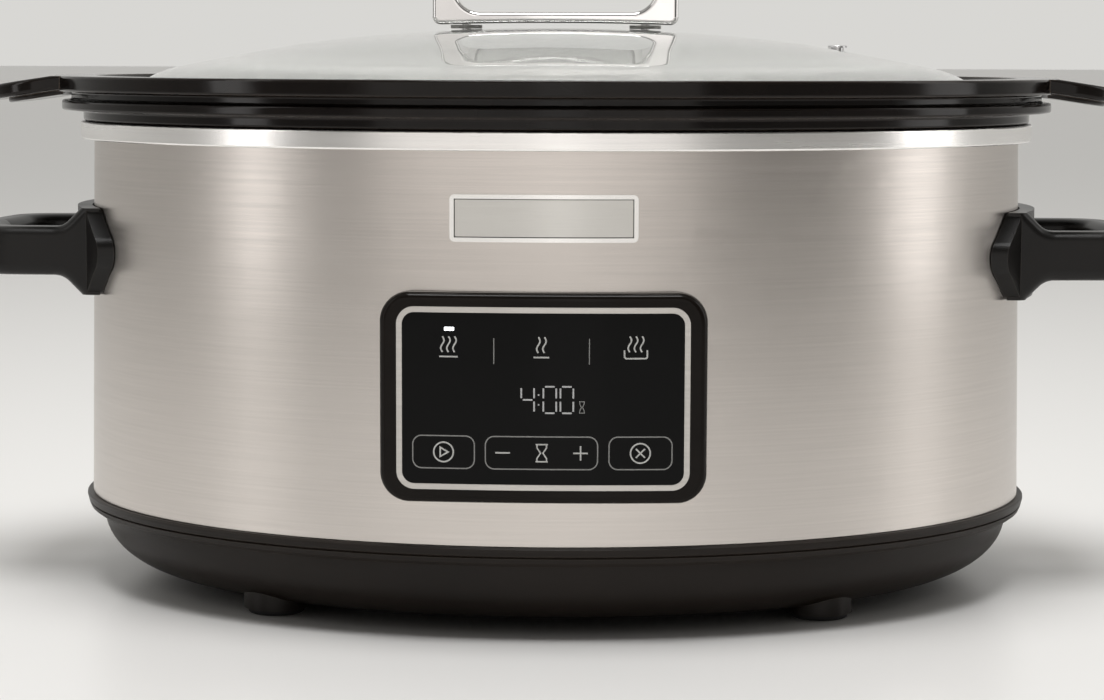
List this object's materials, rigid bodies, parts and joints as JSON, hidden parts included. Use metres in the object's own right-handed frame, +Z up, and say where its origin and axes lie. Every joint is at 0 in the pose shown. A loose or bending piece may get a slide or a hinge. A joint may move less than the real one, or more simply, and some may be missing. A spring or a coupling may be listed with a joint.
{
  "type": "slow cooker",
  "caption": "Oval countertop slow cooker with a brushed steel body, touch control panel, lift-out stoneware pot and glass lid.",
  "frame": {"origin": "on the table under the middle of the cooker", "axes": "+X to the right seen from the front, +Y to the back, +Z up; the control panel faces -Y"},
  "size_m": [0.441, 0.2964, 0.25],
  "materials": {
    "base_plastic": "satin moulded black plastic with a warm tone",
    "foot_rubber": "matt black rubber",
    "brushed_sleeve": "stainless steel brushed round the oval",
    "satin_trim": "satin silver rolled trim with a bright lip",
    "well_steel": "aluminised steel, dull",
    "heater_wrap": "glass fibre wrapped heating band",
    "felt": "glass fibre felt",
    "spring_steel": "zinc plated steel",
    "circuit_board": "green solder mask",
    "component_black": "black moulded component body",
    "component_yellow": "yellow transformer tape",
    "component_blue": "blue capacitor case",
    "component_white": "white component body",
    "sensor_aluminium": "cast sensor block",
    "lead_sleeve": "braided glass fibre sleeving",
    "ribbon_grey": "grey ribbon cable",
    "bezel_gloss": "gloss black bezel",
    "border_silver": "satin silver border line",
    "lens_black": "gloss black touch lens with pale printed signs",
    "badge_metal": "satin plate with bright raised border, blank",
    "handle_plastic": "satin black phenolic",
    "gland_rubber": "black flexible bush",
    "stoneware_glaze": "gloss black glazed stoneware",
    "lid_glass": "clear tempered glass",
    "handle_chrome": "polished chrome",
    "clear_silicone": "translucent silicone"
  },
  "bodies": {
    "housing": {"base_pan": "base_plastic", "feet": "foot_rubber", "steel_housing": "brushed_sleeve", "rim_trim": "satin_trim", "heating_well": "well_steel", "heater_band": "heater_wrap", "insulation_wrap": "felt", "band_springs": "spring_steel", "heat_shield": "well_steel", "shield_posts": "spring_steel", "base_screws": "spring_steel", "centre_stud": "spring_steel", "centre_nut": "spring_steel", "power_board": "circuit_board", "board_screws": "spring_steel", "relay": "component_black", "transformer": "component_yellow", "filter_capacitor": "component_blue", "terminal_block": "component_white", "thermal_fuse": "component_white", "fuse_clip": "spring_steel", "temperature_sensor": "sensor_aluminium", "heater_leads": "lead_sleeve", "panel_ribbon": "ribbon_grey", "panel_bezel": "bezel_gloss", "panel_border": "border_silver", "panel_lens": "lens_black", "panel_tray": "base_plastic", "display_board": "circuit_board", "panel_screws": "spring_steel", "display_module": "component_black", "status_leds": "component_white", "touch_springs": "spring_steel", "panel_chip": "component_black", "badge_plate": "badge_metal", "right_handle": "handle_plastic", "left_handle": "handle_plastic", "handle_brackets": "spring_steel", "handle_screws": "spring_steel", "cord_gland": "gland_rubber"},
    "pot": {"cooking_pot": "stoneware_glaze"},
    "lid": {"lid_glass": "lid_glass", "lid_handle": "handle_chrome", "handle_pads": "clear_silicone", "handle_washers": "clear_silicone", "lid_screws": "spring_steel", "steam_vent": "spring_steel"}
  },
  "joints": [
    {"name": "pot_lift", "type": "slide", "parent": "housing", "child": "pot", "axis": [0, 0, 1], "range_m": [0, 0.16]},
    {"name": "lid_lift", "type": "slide", "parent": "pot", "child": "lid", "axis": [0, 0, 1], "range_m": [0, 0.12]}
  ]
}
